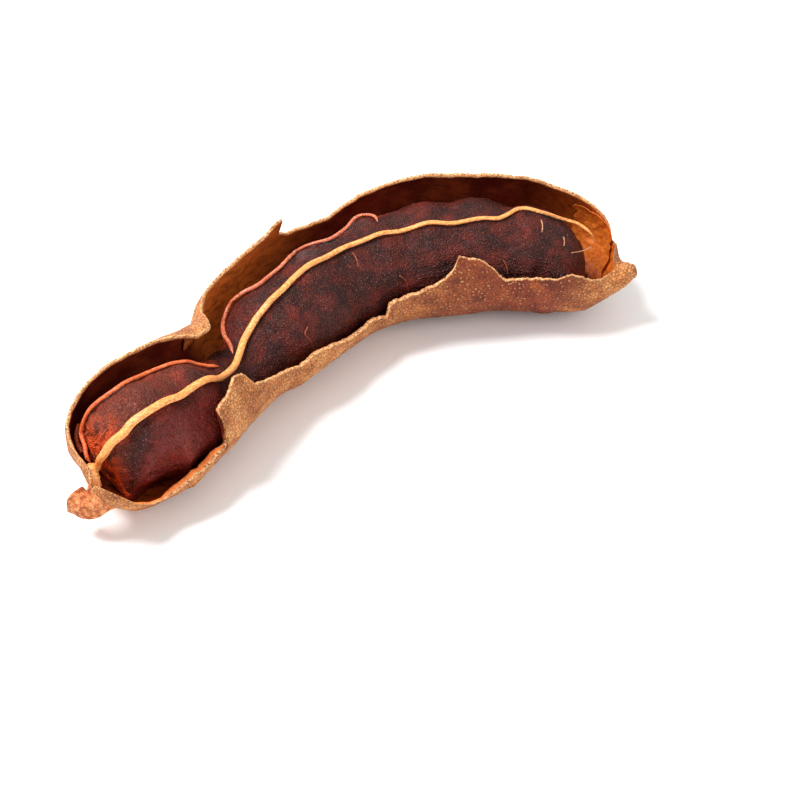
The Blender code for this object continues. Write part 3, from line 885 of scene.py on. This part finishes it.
def pulp_paint():
    """Sticky flesh: near-black red brown, finely wrinkled, orange red where it is thin, with painted
    highlights on the crowns of its grain and a painted sheen on the first lobe's far and upper side.
    """
    paint = Paint("pulp", 0.42, 0.24)
    fold = paint.noise(4.5, 4.0, 0.6)
    wrinkle = paint.noise(0.62, 3.0, 0.6, 0.5)
    grain = paint.spread(paint.cells(0.5, "SMOOTH_F1", 0.3), 0.6, 0.05)
    colour = paint.ramp(fold, (0.34, (36, 8, 4)), (0.5, (54, 13, 8)), (0.64, (78, 21, 12)))
    # Painted highlights: the crowns of the grain are made lighter.
    crown_highlight = paint.times(paint.spread(grain, 0.5, 0.9), paint.spread(wrinkle, 0.4, 0.56))
    colour = paint.mix(paint.times(crown_highlight, 0.8), colour, (160, 84, 62))
    along = paint.field("along")
    turn = paint.field("turn")
    first_lobe = paint.spread(along, 42.0, 30.0)
    red = paint.spread(paint.noise(6.0, 2.0), 0.5, 0.66)
    red = paint.times(red, paint.spread(first_lobe, 0.0, 1.0, 0.22, 0.5))
    colour = paint.mix(red, colour, (136, 42, 26))
    low_side = paint.times(first_lobe, paint.spread(turn, 198.0, 236.0))
    colour = paint.mix(paint.times(low_side, 0.42), colour, (132, 28, 13))
    tuck = paint.field("tuck")
    # Painted sheen: the far and upper side of the first lobe is made lighter.
    top_sheen = paint.times(first_lobe, paint.spread(turn, 206.0, 180.0))
    colour = paint.mix(paint.times(top_sheen, 0.22), colour, (168, 74, 46))
    fringe = paint.times(paint.spread(tuck, 0.02, 0.12), paint.spread(tuck, 0.9, 0.35))
    colour = paint.mix(paint.times(fringe, 0.7), colour, (160, 56, 26))
    near_stalk = paint.times(paint.spread(along, 15.0, 8.0), paint.spread(turn, 186.0, 158.0))
    thin = paint.times(near_stalk, paint.spread(paint.noise(2.6, 3.0), 0.36, 0.56))
    colour = paint.mix(paint.times(thin, 0.9), colour, (214, 80, 28))
    normal = paint.bump(wrinkle, 0.4, 1.0)
    normal = paint.bump(grain, 0.3, 1.0, normal)
    return paint.finish(colour, normal, paint.spread(wrinkle, 0.3, 0.7, 0.36, 0.5))


def strand_paint(name, light, middle, dark, roughness):
    """A plant fibre: fine lines along it in its own tones, painted lighter on its ridges as a
    highlight.
    """
    paint = Paint(name, roughness, 0.45)
    lines = paint.noise(0.4, 3.0, 0.6, 0.3, paint.stretched(0.5))
    patch = paint.noise(5.0, 2.0)
    # Streaks of the fibre's own tones; the lightest stop lies on the ridges of the bump and is a
    # painted highlight.
    colour = paint.ramp(lines, (0.32, dark), (0.5, middle), (0.66, light))
    colour = paint.mix(paint.spread(patch, 0.4, 0.7, 0.0, 0.5), colour, middle)
    paint.soften(0.15, (1.0, 0.4, 0.15), 0.5)
    return paint.finish(colour, paint.bump(lines, 0.1, 0.7))


def lining_paint(name, light, dark):
    """Thin amber skin with fine veins."""
    paint = Paint(name, 0.5, 0.35)
    veins = paint.noise(1.1, 4.0, 0.65, 0.8)
    colour = paint.ramp(veins, (0.34, dark), (0.6, light))
    paint.soften(0.3, (1.0, 0.35, 0.1), 1.0)
    return paint.finish(colour, paint.bump(veins, 0.25, 0.7))


def bark_paint():
    """Reddish brown bark with dark cracks."""
    paint = Paint("bark", 0.75, 0.3)
    crack = paint.cells(2.4, "DISTANCE_TO_EDGE")
    patch = paint.noise(1.2, 5.0, 0.7)
    colour = paint.ramp(patch, (0.36, (132, 60, 30)), (0.5, (182, 104, 58)), (0.63, (220, 150, 98)))
    colour = paint.mix(paint.spread(crack, 0.0, 0.06, 0.45, 1.0), (84, 32, 14), colour)
    return paint.finish(colour, paint.bump(patch, 0.3, 0.8))


def cut_paint():
    """The stalk's cut end: pale orange wood with fibres standing up."""
    paint = Paint("cut wood", 0.7, 0.3)
    grain = paint.noise(0.45, 4.0, 0.7)
    colour = paint.ramp(grain, (0.32, (140, 62, 30)), (0.5, (196, 106, 62)), (0.66, (226, 150, 100)))
    return paint.finish(colour, paint.bump(grain, 0.2, 0.8))


def floor_paint():
    """Plain white studio floor with a very faint unevenness."""
    paint = Paint("floor", 0.6, 0.2)
    patch = paint.noise(90.0, 2.0)
    colour = paint.mix(patch, (250, 250, 250), (255, 255, 255))
    return paint.finish(colour)


# ---- stage ----

def make_stage():
    mesh = bpy.data.meshes.new("floor")
    half = FLOOR_HALF
    corners = [(-half, -half, 0), (half, -half, 0), (half, half, 0), (-half, half, 0)]
    mesh.from_pydata(corners, [], [(0, 1, 2, 3)])
    mesh.materials.append(floor_paint())
    floor = bpy.data.objects.new("floor", mesh)
    bpy.context.scene.collection.objects.link(floor)

    world = bpy.data.worlds.new("studio")
    bpy.context.scene.world = world
    world.use_nodes = True
    sky = world.node_tree.nodes["Background"]
    sky.inputs["Color"].default_value = WORLD_COLOUR
    sky.inputs["Strength"].default_value = WORLD_LIGHT

    for name, place, size, power in LAMPS:
        lamp = bpy.data.lights.new(name, "AREA")
        lamp.shape = "DISK"
        lamp.size = size
        lamp.energy = power
        obj = bpy.data.objects.new(name, lamp)
        obj.location = place
        obj.rotation_euler = (-Vector(place)).to_track_quat("-Z", "Y").to_euler()
        bpy.context.scene.collection.objects.link(obj)
    bpy.context.scene.view_settings.view_transform = "Standard"


def make_camera():
    """A view from the left and above, with the pod a little left of and above the middle."""
    turn, rise = np.radians(VIEW_TURN), np.radians(VIEW_RISE)
    back = Vector((np.sin(turn) * np.cos(rise), -np.cos(turn) * np.cos(rise), np.sin(rise)))
    right = Vector((np.cos(turn), np.sin(turn), 0.0))
    up = back.cross(right)
    target = Vector(POD_MIDDLE) + right * VIEW_SHIFT[0] + up * VIEW_SHIFT[1]
    camera = bpy.data.cameras.new("camera")
    camera.lens = LENS
    camera.sensor_width = SENSOR_WIDTH
    obj = bpy.data.objects.new("camera", camera)
    turned = Matrix((right, up, back)).transposed().to_4x4()
    obj.matrix_world = Matrix.Translation((target + back * VIEW_DISTANCE) * MM) @ turned
    bpy.context.scene.collection.objects.link(obj)
    bpy.context.scene.camera = obj


# ---- the whole pod ----

make_camera()
make_stage()
pod_shell(shell_outside(), shell_edge(), shell_inside())
pod_pulp(pulp_paint())
golden = strand_paint("golden strand", (250, 186, 116), (232, 150, 80), (184, 100, 46), 0.42)
orange = strand_paint("orange strand", (240, 132, 72), (214, 92, 42), (140, 46, 20), 0.42)
ruddy = strand_paint("ruddy strand", (226, 146, 106), (196, 98, 66), (122, 44, 24), 0.45)
brown = strand_paint("fine fibre", (168, 84, 54), (134, 54, 33), (84, 28, 16), 0.5)
pale = strand_paint("pale hair", (206, 158, 120), (172, 116, 84), (120, 66, 44), 0.5)
strand("main_fibre", MAIN_STRAND, MAIN_RADII, 18, golden, ("main_strand",), 2.0,
       ragged=0.07, more=[knob_rings()])
strand("lower_fibre", LOWER_STRAND, SIDE_RADII, 12, orange, ("lower_strand",), 3.0)
strand("base_side_fibre", BASE_STRAND, SIDE_RADII, 12, orange, ("base_strand",), 4.0)
strand("upper_fibre", UPPER_STRAND, SIDE_RADII, 12, ruddy, ("upper_strand",), 5.0)
for number, route in enumerate(CROSS_FIBRES, start=1):
    hair = brown if number <= 4 else pale
    strand(f"fine_fibre_{number}", route, FINE_RADII, 10, hair, (f"cross_fibre_{number}",),
           6.0 + number, ragged=0.15, sunk=0.12)
strand("fine_fibre_tip", TIP_FIBRE, FINE_RADII, 10, pale, ("tip_fibre",), 13.0)
strand("fine_fibre_base", BASE_FIBRE, FINE_RADII, 10, brown, ("base_fibre",), 14.0)
amber_skin = lining_paint("amber lining", (214, 110, 34), (174, 74, 14))
brown_skin = lining_paint("brown lining", (190, 100, 44), (126, 52, 20))
lining("amber_lining", TIP_LINING, 0.6, 3.0, amber_skin, "tip_lining")
lining("brown_lining", NECK_LINING, 1.0, 7.0, brown_skin, "neck_lining")
pod_stalk(bark_paint(), cut_paint())
